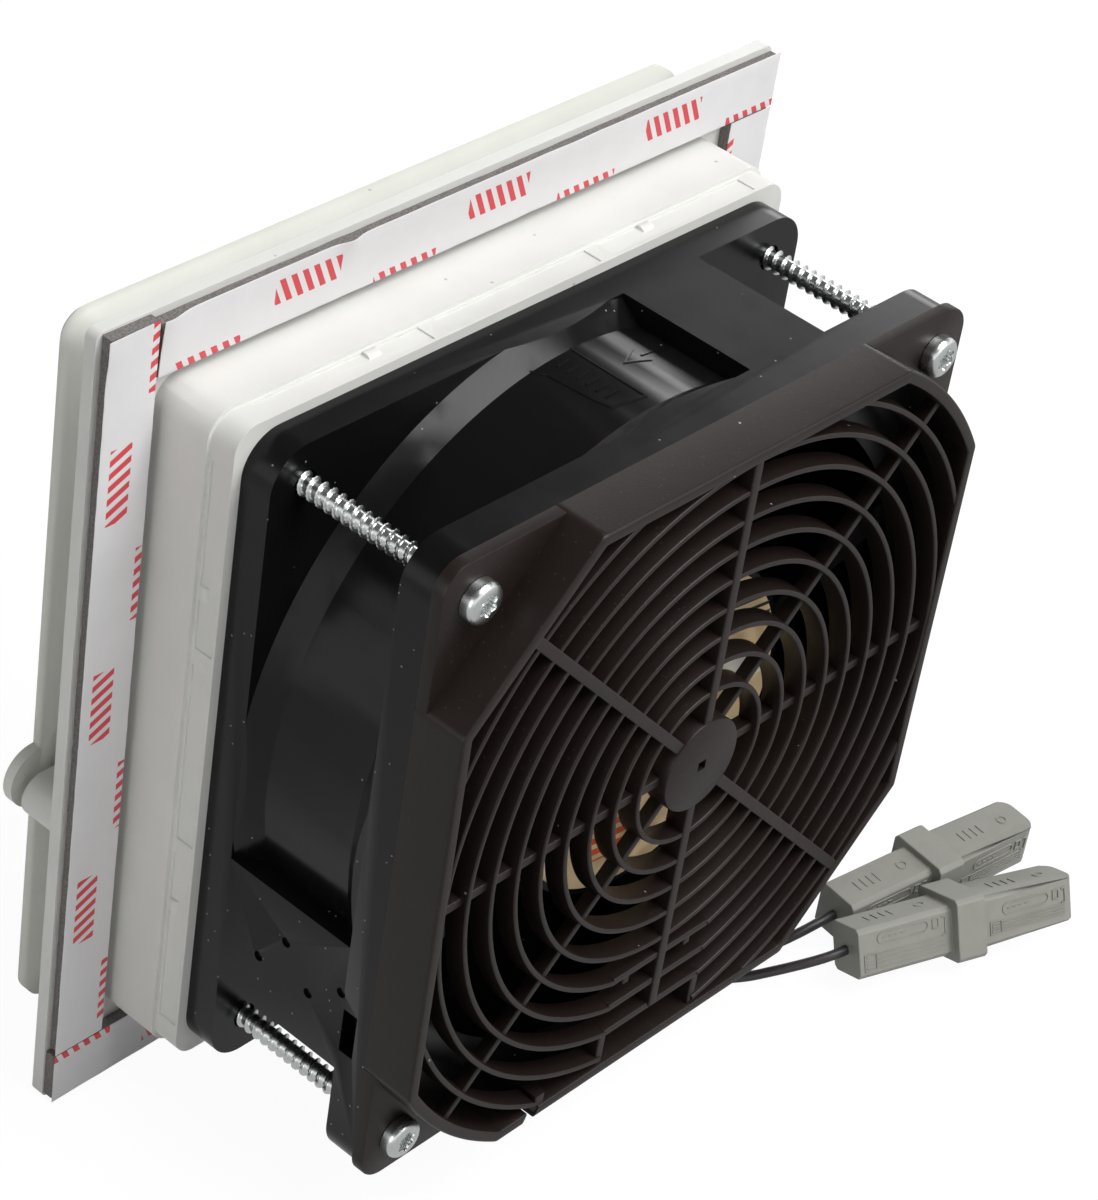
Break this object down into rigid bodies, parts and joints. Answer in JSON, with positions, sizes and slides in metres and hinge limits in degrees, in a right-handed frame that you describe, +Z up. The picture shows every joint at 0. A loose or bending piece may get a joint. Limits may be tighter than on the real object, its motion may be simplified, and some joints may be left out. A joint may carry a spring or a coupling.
{
  "type": "filter fan",
  "caption": "Square cabinet filter fan: hinged louvre cover, filter mat, taped mounting frame, axial fan, ringed finger guard and two leads with push-on connectors.",
  "frame": {"origin": "centre of the square panel cut-out, on the rear face of the mounting flange, on the fan's axis", "axes": "+Y along the fan's axis from the panel into the cabinet, so the louvre cover faces -Y; +Z up as installed; the cover's hinge is on the -X side"},
  "size_m": [0.179, 0.1026, 0.1484],
  "materials": {
    "frame_plastic": "light grey moulded plastic, fine satin",
    "cover_plastic": "light grey moulded plastic, fine satin",
    "filter_fibre": "white non-woven fibre",
    "tape_foam": "dark closed-cell foam",
    "liner_paper": "white silicone paper",
    "fan_plastic": "black painted die casting look, glossy",
    "guard_plastic": "brown-black moulded plastic, satin",
    "bright_steel": "bright zinc",
    "lamination_steel": "dull grey steel",
    "copper_wire": "enamelled copper",
    "bobbin_plastic": "natural plastic",
    "label_paper": "plain gold and cream film",
    "lead_sheath": "black flexible sheath",
    "connector_plastic": "mid grey moulded plastic"
  },
  "bodies": {
    "frame": {"base_frame": "frame_plastic", "mat_grid": "frame_plastic", "hinge_pins": "bright_steel", "filter_mat": "filter_fibre", "gasket_latch_side": "tape_foam", "gasket_top": "tape_foam", "gasket_hinge_side": "tape_foam", "gasket_bottom": "tape_foam", "liner_latch_side": "liner_paper", "liner_top": "liner_paper", "liner_hinge_side": "liner_paper", "liner_bottom": "liner_paper", "fan_housing": "fan_plastic", "finger_guard": "guard_plastic", "guard_screws": "bright_steel", "motor_label": "label_paper", "stator_core": "lamination_steel", "stator_coils": "copper_wire", "coil_bobbin": "bobbin_plastic", "bearing_front": "bright_steel", "bearing_rear": "bright_steel", "lead_grommet": "lead_sheath", "lead_1": "lead_sheath", "lead_2": "lead_sheath", "plug_1_body": "connector_plastic", "plug_1_cap": "connector_plastic", "plug_2_body": "connector_plastic", "plug_2_cap": "connector_plastic"},
    "rotor": {"impeller": "fan_plastic", "rotor_cup": "lamination_steel", "rotor_core": "lamination_steel", "rotor_shaft": "bright_steel", "retaining_ring": "lamination_steel"},
    "cover": {"louvre_cover": "cover_plastic"}
  },
  "joints": [
    {"name": "impeller_spin", "type": "hinge", "parent": "frame", "child": "rotor", "pos_m": [0, 0.035, 0], "axis": [0, 1, 0], "continuous": true},
    {"name": "cover_swing", "type": "hinge", "parent": "frame", "child": "cover", "pos_m": [-0.064, -0.0086, 0], "axis": [0, 0, -1], "range_deg": [0, 100]}
  ]
}
